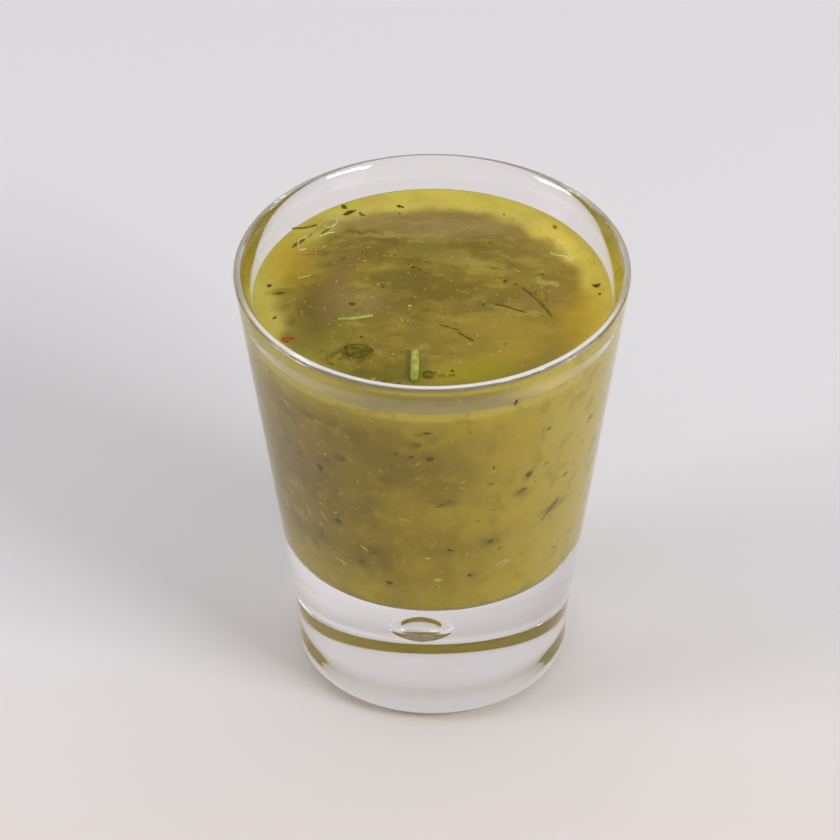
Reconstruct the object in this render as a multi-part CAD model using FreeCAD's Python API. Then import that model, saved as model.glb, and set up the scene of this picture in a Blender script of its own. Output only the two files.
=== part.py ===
"""A small bubble-base shot glass filled with herb marinade.

Two solids are written to parts/: glass.step, a tapered tumbler with a thick clear
base that holds one sealed air bubble, and marinade.step, the marinade that fills
its bowl up to the level where it is served.

Frame: millimetres, +Z up, origin on the table under the middle of the foot.
Every profile lies in the XZ half-plane and is turned once round the Z axis.
"""

import FreeCAD, Part
import math
import os

# Overall sizes of the glass.
HEIGHT = 63.7
RIM_RADIUS = 26.5

# Foot and heel: the last few millimetres of the wall stand nearly upright and
# then roll under to a flat standing ring round a shallow hollow.
HEEL_RADIUS = 18.6
HEEL_HEIGHT = 7.5
HEEL_TAPER = 0.3
FOOT_RADIUS = HEEL_RADIUS - HEEL_TAPER
ROLL_HEIGHT = 2.3
ROLL_WIDTH = 6.3
RING_WIDTH = 1.4
PUNT_DEPTH = 0.5

# Bowl: its wall grows thicker from the lip to the floor of the bowl. The lip is
# flat on top between two small rounds.
LIP_THICKNESS = 1.8
LIP_ROUND = 0.5
WALL_AT_FLOOR = 2.3
BASE_THICKNESS = 19.9
FLOOR_SAG = 0.5
FLOOR_FILLET = 3.2

# Sealed air bubble in the base: lens-shaped, wider than tall, flatter below than
# above, and a little off the axis.
BUBBLE_RADIUS = 2.5
BUBBLE_CROWN = 2.4
BUBBLE_BELLY = 2.1
BUBBLE_HEIGHT = 10.3
BUBBLE_OFFSET = -0.9

# Marinade: how far below the rim it meets the wall, how far it creeps up the
# glass, and the shallow moat of oil round its slightly raised middle.
HEADSPACE = 5.0
MENISCUS_RISE = 0.45
MENISCUS_WIDTH = 1.2
MOAT_WIDTH = 3.0
CROWN_RISE = 0.15
SHOULDER_WIDTH = 3.4

# The fill tool runs this far past the wall, so that the cut is clean.
FILL_OVERRUN = 3.0

# Weight of the middle pole that makes a three-pole Bezier a quarter ellipse, and
# the smaller one that draws the bubble's side out to a lens.
QUARTER_WEIGHT = math.sqrt(0.5)
LENS_WEIGHT = 0.5

AXIS_POINT = FreeCAD.Vector(0, 0, 0)
AXIS = FreeCAD.Vector(0, 0, 1)


def at(radius, height):
    """A point of a profile."""
    return FreeCAD.Vector(radius, 0, height)


def line(start, end):
    return Part.LineSegment(start, end).toShape()


def arc(start, middle, end):
    return Part.Arc(start, middle, end).toShape()


def bezier(poles, weights=None):
    """A Bezier edge through its first and last pole."""
    curve = Part.BezierCurve()
    curve.setPoles(poles)
    for number, weight in enumerate(weights or [], start=1):
        curve.setWeight(number, weight)
    return curve.toShape()


def turned(edges, axis_point=AXIS_POINT):
    """The solid that a closed profile sweeps in a full turn round a vertical axis."""
    face = Part.Face(Part.Wire(Part.__sortEdges__(edges)))
    solid = face.revolve(axis_point, AXIS, 360)
    solid = Part.Solid(solid.Shells[0]) if solid.ShapeType != "Solid" else solid
    if solid.Volume < 0:
        solid.reverse()
    return solid


def tangent_point(centre, radius, point, side):
    """Where the line from a point touches a circle; side is +1 or -1."""
    span = centre - point
    distance = span.Length
    bearing = math.atan2(span.z, span.x)
    swing = math.asin(radius / distance)
    reach = distance * math.cos(swing)
    angle = bearing + side * swing
    return point + FreeCAD.Vector(math.cos(angle), 0, math.sin(angle)) * reach


def outer_round():
    """Centre of the lip's outer round."""
    return at(RIM_RADIUS - LIP_ROUND, HEIGHT - LIP_ROUND)


def inner_round():
    """Centre of the lip's inner round."""
    return at(RIM_RADIUS - LIP_THICKNESS + LIP_ROUND, HEIGHT - LIP_ROUND)


def outer_wall():
    """The bottom and top points of the straight outer wall."""
    bottom = at(HEEL_RADIUS, HEEL_HEIGHT)
    top = tangent_point(outer_round(), LIP_ROUND, bottom, -1)
    return bottom, top


def outer_radius(height):
    """Radius of the straight outer wall at a height."""
    bottom, top = outer_wall()
    share = (height - bottom.z) / (top.z - bottom.z)
    return bottom.x + (top.x - bottom.x) * share


def bowl_corner():
    """Where the bowl's wall and floor would meet without their fillet."""
    return at(outer_radius(BASE_THICKNESS) - WALL_AT_FLOOR, BASE_THICKNESS)


def inner_wall_top():
    return tangent_point(inner_round(), LIP_ROUND, bowl_corner(), +1)


def inner_radius(height):
    """Radius of the bowl's straight wall at a height."""
    bottom, top = bowl_corner(), inner_wall_top()
    share = (height - bottom.z) / (top.z - bottom.z)
    return bottom.x + (top.x - bottom.x) * share


def bowl_edges():
    """The bowl's profile from the axis outwards and up: floor, fillet and wall."""
    corner, top = bowl_corner(), inner_wall_top()
    up = (top - corner).normalize()
    lean = math.atan2(up.x, up.z)
    # The fillet touches the wall this far above the corner, and the floor as far in.
    setback = FLOOR_FILLET * math.tan((math.pi / 2 - lean) / 2)
    on_wall = corner + up * setback
    on_floor = corner - FreeCAD.Vector(setback, 0, 0)
    centre = on_floor + FreeCAD.Vector(0, 0, FLOOR_FILLET)
    bisector = (corner - centre).normalize()
    middle = centre + bisector * FLOOR_FILLET
    floor_middle = at(0, BASE_THICKNESS - FLOOR_SAG)
    flat = on_floor.x / 3
    floor = bezier(
        [floor_middle, at(flat, floor_middle.z), at(2 * flat, on_floor.z), on_floor]
    )
    return [floor, arc(on_floor, middle, on_wall), line(on_wall, top)]


def round_off(centre, wall_top):
    """The small round between a wall's top point and the flat of the lip."""
    crown = centre + FreeCAD.Vector(0, 0, LIP_ROUND)
    bisector = ((wall_top - centre) + (crown - centre)).normalize()
    return arc(wall_top, centre + bisector * LIP_ROUND, crown)


def lip_edges():
    """The lip, from the bowl's wall over the flat to the outer wall."""
    rise = FreeCAD.Vector(0, 0, LIP_ROUND)
    inner, outer = inner_round(), outer_round()
    return [
        round_off(inner, inner_wall_top()),
        line(inner + rise, outer + rise),
        round_off(outer, outer_wall()[1]),
    ]


def outside_edges():
    """The outside profile from the lip down to the axis under the foot."""
    bottom, top = outer_wall()
    roll_top = at(FOOT_RADIUS, ROLL_HEIGHT)
    corner = at(FOOT_RADIUS, 0)
    roll_end = at(FOOT_RADIUS - ROLL_WIDTH, 0)
    ring_end = roll_end - FreeCAD.Vector(RING_WIDTH, 0, 0)
    third = (bottom.z - roll_top.z) / 3
    slope = (top.x - bottom.x) / (top.z - bottom.z)
    # The heel leaves the wall along its slope and reaches the roll upright.
    heel = bezier(
        [
            bottom,
            at(bottom.x - slope * third, bottom.z - third),
            at(roll_top.x, roll_top.z + third),
            roll_top,
        ]
    )
    roll = bezier([roll_top, corner, roll_end], [1, QUARTER_WEIGHT, 1])
    ring = line(roll_end, ring_end)
    flat = ring_end.x / 3
    punt = bezier(
        [ring_end, at(2 * flat, 0), at(flat, PUNT_DEPTH), at(0, PUNT_DEPTH)]
    )
    return [line(top, bottom), heel, roll, ring, punt]


def bubble():
    """The sealed bubble: a crown and a belly that meet in a softly drawn-out side."""
    crown = at(BUBBLE_OFFSET, BUBBLE_HEIGHT + BUBBLE_CROWN)
    belly = at(BUBBLE_OFFSET, BUBBLE_HEIGHT - BUBBLE_BELLY)
    side = at(BUBBLE_OFFSET + BUBBLE_RADIUS, BUBBLE_HEIGHT)
    weights = [1, LENS_WEIGHT, 1]
    upper = bezier([crown, at(side.x, crown.z), side], weights)
    lower = bezier([side, at(side.x, belly.z), belly], weights)
    return turned([upper, lower, line(belly, crown)], at(BUBBLE_OFFSET, 0))


def glass():
    """The tumbler: bowl, lip, wall and foot in one profile, less the bubble."""
    floor_middle = at(0, BASE_THICKNESS - FLOOR_SAG)
    spine = line(at(0, PUNT_DEPTH), floor_middle)
    body = turned(bowl_edges() + lip_edges() + outside_edges() + [spine])
    return body.cut(bubble())


def bowl_space():
    """Everything inside the bowl up to where its straight wall ends."""
    top = inner_wall_top()
    lid = line(top, at(0, top.z))
    spine = line(at(0, top.z), at(0, BASE_THICKNESS - FLOOR_SAG))
    return turned(bowl_edges() + [lid, spine])


def fill_tool():
    """A wide plug whose top is the surface of the marinade.

    From the wall inwards the surface drops down the meniscus into the moat, and
    then climbs over a soft shoulder to the raised middle.
    """
    level = HEIGHT - HEADSPACE
    wall_radius = inner_radius(level)
    moat_level = level - MENISCUS_RISE
    crown_level = level + CROWN_RISE
    moat_outer = at(wall_radius - MENISCUS_WIDTH, moat_level)
    moat_inner = at(wall_radius - MOAT_WIDTH, moat_level)
    shoulder = at(moat_inner.x - SHOULDER_WIDTH, crown_level)
    middle = at(0, crown_level)
    outside = at(wall_radius + FILL_OVERRUN, level)
    under = at(wall_radius + FILL_OVERRUN, 0)
    meniscus = bezier([at(wall_radius, level), at(moat_outer.x, moat_level), moat_inner])
    half = SHOULDER_WIDTH / 2
    climb = bezier(
        [
            moat_inner,
            at(moat_inner.x - half, moat_level),
            at(shoulder.x + half, crown_level),
            shoulder,
        ]
    )
    return turned(
        [
            line(outside, at(wall_radius, level)),
            meniscus,
            climb,
            line(shoulder, middle),
            line(middle, at(0, 0)),
            line(at(0, 0), under),
            line(under, outside),
        ]
    )


def marinade():
    """The marinade: the bowl's space, filled up to its surface."""
    return bowl_space().common(fill_tool())


def main():
    os.makedirs("parts", exist_ok=True)
    for name, shape in (("glass", glass()), ("marinade", marinade())):
        solid = shape.Solids[0]
        solid.exportStep(f"parts/{name}.step")
        print(name, "volume in ml", round(solid.Volume / 1000, 2), "valid", solid.isValid())


main()
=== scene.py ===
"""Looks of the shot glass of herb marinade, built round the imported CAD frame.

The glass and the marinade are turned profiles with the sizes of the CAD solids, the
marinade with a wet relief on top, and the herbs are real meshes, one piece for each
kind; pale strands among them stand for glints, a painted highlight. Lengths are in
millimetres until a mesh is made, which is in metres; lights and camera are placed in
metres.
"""

import math
import random

import bmesh
import bpy
from mathutils import Matrix, Vector, noise


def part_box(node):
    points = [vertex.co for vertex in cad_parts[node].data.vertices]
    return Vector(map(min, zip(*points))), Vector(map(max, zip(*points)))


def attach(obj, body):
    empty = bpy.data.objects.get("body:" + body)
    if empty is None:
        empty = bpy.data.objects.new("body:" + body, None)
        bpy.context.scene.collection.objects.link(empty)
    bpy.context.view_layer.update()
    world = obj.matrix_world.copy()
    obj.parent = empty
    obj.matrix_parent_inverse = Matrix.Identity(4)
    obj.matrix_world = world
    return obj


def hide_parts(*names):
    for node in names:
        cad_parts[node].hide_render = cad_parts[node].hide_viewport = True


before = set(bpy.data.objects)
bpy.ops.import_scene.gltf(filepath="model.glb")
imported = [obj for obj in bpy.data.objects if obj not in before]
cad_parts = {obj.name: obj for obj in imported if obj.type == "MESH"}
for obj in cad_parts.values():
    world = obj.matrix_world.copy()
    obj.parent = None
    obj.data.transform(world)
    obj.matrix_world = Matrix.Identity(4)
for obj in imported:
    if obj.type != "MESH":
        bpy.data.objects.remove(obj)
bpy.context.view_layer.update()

MM = 0.001

# ---------------------------------------------------------------- sizes (mm)

# Overall sizes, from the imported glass.
_, glass_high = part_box("glass")
HEIGHT = glass_high[2] / MM
RIM_RADIUS = glass_high[0] / MM

# Foot and heel.
HEEL_RADIUS = 18.6
HEEL_HEIGHT = 7.5
FOOT_RADIUS = 18.3
ROLL_HEIGHT = 2.3
ROLL_WIDTH = 6.3
RING_WIDTH = 1.4
PUNT_DEPTH = 0.5

# Lip: its thickness and rounds place the two walls as in the CAD. Inside, the last
# LIP_ROLL of the wall rolls over to the crown. The top band of the lip has the lip's
# material, whose white crown is a painted highlight.
LIP_THICKNESS = 1.8
LIP_ROUND = 0.5
LIP_ROLL = 4.0
LIP_ROLL_WIDTH = 0.6
LIP_PAINTED_HIGHLIGHT = 0.3

# Bowl.
WALL_AT_FLOOR = 2.3
BASE_THICKNESS = 19.9
FLOOR_SAG = 0.5
FLOOR_FILLET = 3.2

# Bubble in the base.
BUBBLE_RADIUS = 2.5
BUBBLE_CROWN = 2.4
BUBBLE_BELLY = 2.1
BUBBLE_HEIGHT = 10.3
BUBBLE_OFFSET = -0.9

# Marinade: its level, which is lifted a little and rises towards the back, and how far
# it reaches into the wall.
HEADSPACE = 5.0
LEVEL = HEIGHT - HEADSPACE
LEVEL_LIFT = 0.1
LEVEL_TILT = 0.55
INTO_WALL = 0.05

# The marinade's surface creeps up the wall, and its thick middle stands a little higher
# than the oil round it. The middle's edge waves in and out: count, size and start.
MENISCUS_RISE = 0.45
MENISCUS_WIDTH = 0.55
PLATEAU_RISE = 0.30
PLATEAU_RADIUS = 19.0
PLATEAU_SLOPE = 5.0
PLATEAU_WAVES = ((2, 0.9, 0.6), (3, 0.7, -0.9), (5, 0.5, 2.0))

# Fine relief of the surface: noise scale and height, the distances from the wall between
# which it fades out, and the layer of the noise that is used.
RELIEF = ((0.16, 0.10), (0.45, 0.04), (1.3, 0.015))
RELIEF_FADE = (3.5, 1.0)
RELIEF_LAYER = 3.7

# Steps of the meshes: round the glass, round the bubble, and up the bowl's wall.
ROUND_SEGMENTS = 256
BUBBLE_SEGMENTS = 96
WALL_STEP = 1.5

# Rings of the marinade's mesh. The bowl's profile ends this far under the level, the next
# rings lie so deep under the line at the wall, and the last ones so far in from the wall.
PROFILE_END = 1.5
SIDE_DEPTHS = (1.0, 0.6, 0.3, 0.1, 0)
MENISCUS_RINGS = (0.08, 0.25)
FIRST_RING = 0.45
RING_STEP = 0.25
SMALLEST_RING = 0.3

# Weights that make a three-pole Bezier a quarter ellipse, and a softer lens side.
QUARTER = [1, math.sqrt(0.5), 1]
LENS = [1, 0.5, 1]


# ---------------------------------------------------------------- profiles


def bezier(poles, count, weights=None):
    """Points along a Bezier curve through its first and last pole."""
    degree = len(poles) - 1
    weights = weights or [1] * len(poles)
    points = []
    for step in range(count + 1):
        share = step / count
        basis = [
            math.comb(degree, k) * share**k * (1 - share) ** (degree - k) * weights[k]
            for k in range(degree + 1)
        ]
        total = sum(basis)
        points.append(
            tuple(sum(b * pole[axis] for b, pole in zip(basis, poles)) / total for axis in (0, 1))
        )
    return points


def arc(centre, radius, start, end, count):
    """Points of a circle's arc between two angles."""
    angles = [start + (end - start) * step / count for step in range(count + 1)]
    return [(centre[0] + radius * math.cos(a), centre[1] + radius * math.sin(a)) for a in angles]


def join(*runs):
    """One profile out of several that start where the last one ended."""
    profile = list(runs[0])
    for run in runs[1:]:
        profile += run[1:]
    return profile


def touching_point(centre, radius, point, side):
    """Where the line from a point touches a circle; side is +1 or -1."""
    span = (centre[0] - point[0], centre[1] - point[1])
    distance = math.hypot(*span)
    bearing = math.atan2(span[1], span[0]) + side * math.asin(radius / distance)
    reach = math.sqrt(distance**2 - radius**2)
    return (point[0] + reach * math.cos(bearing), point[1] + reach * math.sin(bearing))


# The outer wall runs from the heel to the lip's outer round.
outer_round = (RIM_RADIUS - LIP_ROUND, HEIGHT - LIP_ROUND)
heel_top = (HEEL_RADIUS, HEEL_HEIGHT)
outer_top = touching_point(outer_round, LIP_ROUND, heel_top, -1)
OUTER_SLOPE = (outer_top[0] - heel_top[0]) / (outer_top[1] - heel_top[1])


def outer_radius(height):
    return HEEL_RADIUS + (height - HEEL_HEIGHT) * OUTER_SLOPE


# The inner wall runs from the bowl's corner towards the CAD lip's inner round.
inner_round = (RIM_RADIUS - LIP_THICKNESS + LIP_ROUND, HEIGHT - LIP_ROUND)
bowl_corner = (outer_radius(BASE_THICKNESS) - WALL_AT_FLOOR, BASE_THICKNESS)
inner_top = touching_point(inner_round, LIP_ROUND, bowl_corner, +1)
INNER_SLOPE = (inner_top[0] - bowl_corner[0]) / (inner_top[1] - bowl_corner[1])


def inner_radius(height):
    return bowl_corner[0] + (height - bowl_corner[1]) * INNER_SLOPE


def bowl_profile():
    """Floor of the bowl from the axis out, its fillet, and the wall up to the lip."""
    lean = math.atan(INNER_SLOPE)
    setback = FLOOR_FILLET * math.tan((math.pi / 2 - lean) / 2)
    on_floor = (bowl_corner[0] - setback, BASE_THICKNESS)
    centre = (on_floor[0], BASE_THICKNESS + FLOOR_FILLET)
    middle = BASE_THICKNESS - FLOOR_SAG
    flat = on_floor[0] / 3
    floor = bezier([(0, middle), (flat, middle), (2 * flat, BASE_THICKNESS), on_floor], 24)
    fillet = arc(centre, FLOOR_FILLET, -math.pi / 2, -lean, 16)
    # The wall's rings start just above the fillet and end a little under the lip's roll.
    wall_levels = [fillet[-1][1] + 0.3 + step * WALL_STEP for step in range(30)]
    top = HEIGHT - LIP_ROLL
    wall = [(inner_radius(z), z) for z in wall_levels if z < top - 0.6]
    return join(floor, fillet, [fillet[-1]] + wall + [(inner_radius(top), top)])


def lip_profile():
    """The long inner roll of the lip and its small outer round."""
    low = HEIGHT - LIP_ROLL
    middle = low + LIP_ROLL / 2
    crown = (outer_round[0], HEIGHT)
    roll = [
        (inner_radius(low), low),
        (inner_radius(middle), middle),
        (crown[0] - LIP_ROLL_WIDTH, HEIGHT),
        crown,
    ]
    outer = math.atan2(outer_top[1] - outer_round[1], outer_top[0] - outer_round[0])
    return join(bezier(roll, 40), arc(outer_round, LIP_ROUND, math.pi / 2, outer, 16))


def outside_profile():
    """The outer wall down from the lip, the heel, the roll, the ring and the punt."""
    # The outer wall's rings lie twice as far apart as the inner one's.
    levels = [HEIGHT - 2 - step * 2 * WALL_STEP for step in range(18)]
    wall = [(outer_radius(z), z) for z in levels if z > HEEL_HEIGHT + 1]
    roll_top = (FOOT_RADIUS, ROLL_HEIGHT)
    roll_end = (FOOT_RADIUS - ROLL_WIDTH, 0)
    ring_end = (roll_end[0] - RING_WIDTH, 0)
    third = (HEEL_HEIGHT - ROLL_HEIGHT) / 3
    heel = bezier(
        [
            heel_top,
            (HEEL_RADIUS - OUTER_SLOPE * third, HEEL_HEIGHT - third),
            (FOOT_RADIUS, ROLL_HEIGHT + third),
            roll_top,
        ],
        12,
    )
    roll = bezier([roll_top, (FOOT_RADIUS, 0), roll_end], 32, QUARTER)
    flat = ring_end[0] / 3
    punt = bezier([ring_end, (2 * flat, 0), (flat, PUNT_DEPTH), (0, PUNT_DEPTH)], 24)
    return join([outer_top] + wall + [heel_top], heel, roll, [roll_end, ring_end], punt)


# ---------------------------------------------------------------- meshes


def new_object(name, data):
    piece = bpy.data.objects.new(name, data)
    bpy.context.scene.collection.objects.link(piece)
    return piece


def finish_mesh(bm, name, smooth=True):
    """Turns a bmesh into an object of the scene."""
    mesh = bpy.data.meshes.new(name)
    for face in bm.faces:
        face.smooth = smooth
    bm.to_mesh(mesh)
    bm.free()
    return new_object(name, mesh)


def turned_mesh(bm, profile, segments=ROUND_SEGMENTS, shift=0.0, inside_out=False):
    """Adds the surface that a profile sweeps round an upright axis, shifted along X."""
    rings = []
    for radius, height in profile:
        if radius < 1e-6:
            rings.append([bm.verts.new((shift * MM, 0, height * MM))] * segments)
            continue
        ring = []
        for step in range(segments):
            turn = 2 * math.pi * step / segments
            x = shift + radius * math.cos(turn)
            y = radius * math.sin(turn)
            ring.append(bm.verts.new((x * MM, y * MM, height * MM)))
        rings.append(ring)
    for low, high in zip(rings, rings[1:]):
        for step in range(segments):
            after = (step + 1) % segments
            corners = []
            for vert in (low[step], low[after], high[after], high[step]):
                if vert not in corners:
                    corners.append(vert)
            if inside_out:
                corners.reverse()
            if len(corners) > 2:
                bm.faces.new(corners)
    return rings


def make_glass():
    """The tumbler and, inside it, the wall of its sealed bubble; 1 is the lip's material, with its
    painted highlight.
    """
    bm = bmesh.new()
    turned_mesh(bm, join(bowl_profile(), lip_profile(), outside_profile()), inside_out=True)
    # The top band of the lip gets the material with the painted highlight.
    painted_highlight_from = (HEIGHT - LIP_PAINTED_HIGHLIGHT) * MM
    for face in bm.faces:
        face.material_index = 1 if min(v.co.z for v in face.verts) > painted_highlight_from else 0
    upper = bezier([(0, BUBBLE_CROWN), (BUBBLE_RADIUS, BUBBLE_CROWN), (BUBBLE_RADIUS, 0)], 24, LENS)
    lower = bezier([(BUBBLE_RADIUS, 0), (BUBBLE_RADIUS, -BUBBLE_BELLY), (0, -BUBBLE_BELLY)], 24, LENS)
    bubble = [(radius, z + BUBBLE_HEIGHT) for radius, z in join(upper, lower)]
    turned_mesh(bm, bubble, BUBBLE_SEGMENTS, BUBBLE_OFFSET)
    return finish_mesh(bm, "tumbler")


def smoothstep(low, high, value):
    share = min(max((value - low) / (high - low), 0), 1)
    return share * share * (3 - 2 * share)


def plateau_edge(turn):
    """Radius at which the thick middle of the marinade ends, by direction."""
    uneven = 0
    for count, size, start in PLATEAU_WAVES:
        uneven += size * math.sin(count * turn + start)
    return PLATEAU_RADIUS + uneven


def contact_height(y):
    """Height at which the marinade meets the wall: a little higher at the back."""
    return LEVEL + LEVEL_LIFT + LEVEL_TILT * y / RIM_RADIUS


def surface_height(x, y):
    """Height of the marinade's surface over a point."""
    radius = math.hypot(x, y)
    wall = inner_radius(LEVEL)
    height = contact_height(y) - MENISCUS_RISE
    height += MENISCUS_RISE * math.exp(-max(wall - radius, 0) / MENISCUS_WIDTH)
    edge = plateau_edge(math.atan2(y, x))
    height += PLATEAU_RISE * (1 - smoothstep(edge - PLATEAU_SLOPE, edge, radius))
    fade_from, fade_to = RELIEF_FADE
    calm = 1 - smoothstep(wall - fade_from, wall - fade_to, radius)
    where = Vector((x, y, RELIEF_LAYER))
    for scale, size in RELIEF:
        height += calm * size * noise.noise(where * scale)
    return height


def ring_of(bm, radius_at, height_at):
    """A ring of vertices whose radius and height may change with the direction."""
    ring = []
    for step in range(ROUND_SEGMENTS):
        turn = 2 * math.pi * step / ROUND_SEGMENTS
        radius = radius_at(turn)
        x, y = radius * math.cos(turn), radius * math.sin(turn)
        ring.append(bm.verts.new((x * MM, y * MM, height_at(x, y) * MM)))
    return ring


def wall_ring(bm, depth):
    """A ring of the marinade's side, so deep under the line where it meets the wall."""

    def wall_at(turn):
        return inner_radius(contact_height(RIM_RADIUS * math.sin(turn)) - depth) + INTO_WALL

    return ring_of(bm, wall_at, lambda x, y: contact_height(y) - depth)


def make_marinade():
    """The filling, a hair larger than the bowl; 0 is its side's material, 1 its surface's."""
    below = []
    for radius, height in bowl_profile():
        if height < LEVEL - PROFILE_END:
            out = INTO_WALL if radius > 1 else 0
            below.append((radius + out, height - INTO_WALL / 2))
    bm = bmesh.new()
    rings = [turned_mesh(bm, below)[-1]]
    rings += [wall_ring(bm, depth) for depth in SIDE_DEPTHS]
    sides = len(rings)
    wall = inner_radius(LEVEL)
    radii = [wall - inset for inset in MENISCUS_RINGS]
    radii += [wall - FIRST_RING - RING_STEP * n for n in range(96)]
    for radius in [r for r in radii if r > SMALLEST_RING]:
        rings.append(ring_of(bm, lambda turn, radius=radius: radius, surface_height))
    for number, (outer, inner) in enumerate(zip(rings, rings[1:]), start=1):
        for step in range(ROUND_SEGMENTS):
            after = (step + 1) % ROUND_SEGMENTS
            face = bm.faces.new((outer[step], outer[after], inner[after], inner[step]))
            face.material_index = 0 if number < sides else 1
    middle = bm.verts.new((0, 0, surface_height(0, 0) * MM))
    contact = rings[sides - 1]
    for step in range(ROUND_SEGMENTS):
        after = (step + 1) % ROUND_SEGMENTS
        face = bm.faces.new((rings[-1][step], rings[-1][after], middle))
        face.material_index = 1
        bm.edges.get((contact[step], contact[after])).smooth = False
    return finish_mesh(bm, "marinade_body")


# ---------------------------------------------------------------- material tools


def principled(name, **values):
    """A new material and its Principled shader, with constants on the shader's sockets."""
    material = bpy.data.materials.new(name)
    material.use_nodes = True
    shader = material.node_tree.nodes["Principled BSDF"]
    for key, value in values.items():
        shader.inputs[key.replace("_", " ")].default_value = value
    return material, shader


class Nodes:
    """Short calls for building one material's node tree; lengths are in millimetres."""

    def __init__(self, material):
        self.tree = material.node_tree
        coordinates = self.tree.nodes.new("ShaderNodeTexCoord")
        self.place = self.vector("SCALE", coordinates.outputs["Object"], scale=1 / MM)

    def link(self, value, socket):
        if isinstance(value, bpy.types.NodeSocket):
            self.tree.links.new(value, socket)
        else:
            socket.default_value = value

    def vector(self, operation, first, second=None, scale=None):
        node = self.tree.nodes.new("ShaderNodeVectorMath")
        node.operation = operation
        self.link(first, node.inputs[0])
        if second is not None:
            self.link(second, node.inputs[1])
        if scale is not None:
            self.link(scale, node.inputs["Scale"])
        return node.outputs["Value" if operation == "LENGTH" else "Vector"]

    def maths(self, operation, first, second=0.0):
        node = self.tree.nodes.new("ShaderNodeMath")
        node.operation = operation
        self.link(first, node.inputs[0])
        self.link(second, node.inputs[1])
        return node.outputs["Value"]

    def part(self, vector, axis):
        node = self.tree.nodes.new("ShaderNodeSeparateXYZ")
        self.link(vector, node.inputs["Vector"])
        return node.outputs[axis]

    def noise(self, scale, detail=2.0, vector=None, stretch=(1, 1, 1), output="Fac"):
        node = self.tree.nodes.new("ShaderNodeTexNoise")
        node.inputs["Scale"].default_value = scale
        node.inputs["Detail"].default_value = detail
        where = self.vector("MULTIPLY", vector or self.place, stretch)
        self.link(where, node.inputs["Vector"])
        return node.outputs[output]

    def warped(self, amount, scale, seed=0.0):
        """The place, shifted by a smooth noise of so many millimetres."""
        moved = self.vector("ADD", self.place, (seed, seed, seed))
        push = self.vector("SUBTRACT", self.noise(scale, 2.0, moved, output="Color"), (0.5, 0.5, 0.5))
        return self.vector("ADD", self.place, self.vector("SCALE", push, scale=2 * amount))

    def step(self, value, low, high, bottom=0.0, top=1.0):
        """A smooth step from bottom to top as a value goes from low to high."""
        node = self.tree.nodes.new("ShaderNodeMapRange")
        node.interpolation_type = "SMOOTHSTEP"
        settings = {
            "Value": value,
            "From Min": low,
            "From Max": high,
            "To Min": bottom,
            "To Max": top,
        }
        for name, setting in settings.items():
            self.link(setting, node.inputs[name])
        return node.outputs["Result"]

    def mix(self, share, first, second):
        node = self.tree.nodes.new("ShaderNodeMix")
        node.data_type = "RGBA"
        self.link(share, node.inputs[0])
        for value, socket in ((first, node.inputs[6]), (second, node.inputs[7])):
            self.link(value if isinstance(value, bpy.types.NodeSocket) else (*value, 1), socket)
        return node.outputs[2]

    def tinted(self, colour, mask, share, tint):
        """A colour that turns towards a tint by a share of a mask."""
        return self.mix(self.maths("MULTIPLY", mask, share), colour, tint)

    def blob(self, where, centre, sizes, turn=0.0, soft=0.5):
        """1 inside an ellipsoid round a place, 0 outside, with a soft edge."""
        node = self.tree.nodes.new("ShaderNodeMapping")
        node.vector_type = "TEXTURE"
        self.link(where, node.inputs["Vector"])
        node.inputs["Location"].default_value = centre
        node.inputs["Rotation"].default_value = (0, 0, math.radians(turn))
        node.inputs["Scale"].default_value = sizes
        return self.step(self.vector("LENGTH", node.outputs["Vector"]), 1 + soft, 1 - soft)

    def dots(self, scale, size, share, seed=0.0):
        """Small round dots in a share of the cells of a Voronoi pattern."""
        node = self.tree.nodes.new("ShaderNodeTexVoronoi")
        node.inputs["Scale"].default_value = scale
        self.link(self.vector("ADD", self.place, (seed, seed, seed)), node.inputs["Vector"])
        near = self.step(node.outputs["Distance"], size, size * 0.5)
        chosen = self.step(self.part(node.outputs["Color"], "X"), share + 0.01, share - 0.01)
        return self.maths("MULTIPLY", near, chosen)

    def bump(self, height, strength, distance):
        node = self.tree.nodes.new("ShaderNodeBump")
        node.inputs["Strength"].default_value = strength
        node.inputs["Distance"].default_value = distance * MM
        self.link(height, node.inputs["Height"])
        return node.outputs["Normal"]


# ---------------------------------------------------------------- glass

GLASS_IOR = 1.52
GLASS_TINT = (1.0, 0.985, 0.975, 1)

# How clear the crown with the painted highlight stays, the Y (mm) from which to which
# the painted highlight grows to full towards the front, and its share behind.
LIP_CLEAR = 0.35
LIP_NEAR = (-4, -16)
LIP_FAR_SHARE = 0.35


def glass_material():
    return principled(
        "clear_glass", Base_Color=GLASS_TINT, Roughness=0.0, Transmission_Weight=1.0, IOR=GLASS_IOR
    )[0]


def lip_material():
    """The lip of the glass, whose crown is painted white, most of all in front: a painted highlight
    for the light that the wall gathers.
    """
    material, shader = principled("glass_lip_painted_highlight", Base_Color=(1, 1, 1, 1), Roughness=0.05, IOR=GLASS_IOR)
    nodes = Nodes(material)
    up = nodes.step(nodes.part(nodes.place, "Z"), HEIGHT - LIP_PAINTED_HIGHLIGHT, HEIGHT)
    near = nodes.step(nodes.part(nodes.place, "Y"), *LIP_NEAR, LIP_FAR_SHARE, 1.0)
    # The painted highlight: the crown turns white and less clear, most of all towards the front.
    painted_highlight = nodes.maths("MULTIPLY", up, near)
    nodes.link(nodes.step(painted_highlight, 0, 1, 1.0, LIP_CLEAR), shader.inputs["Transmission Weight"])
    return material


# ---------------------------------------------------------------- marinade's surface

# The thick middle, its smears, and its tones to the front and to the right.
OLIVE = (0.235, 0.165, 0.010)
OLIVE_PALE = (0.320, 0.240, 0.025)
OLIVE_DARK = (0.145, 0.100, 0.005)
SMEAR_PALE = (0.350, 0.285, 0.045)
SMEAR_DARK = (0.125, 0.086, 0.008)
OLIVE_FRONT = (0.320, 0.255, 0.030)
OLIVE_WARM = (0.350, 0.240, 0.025)

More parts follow.
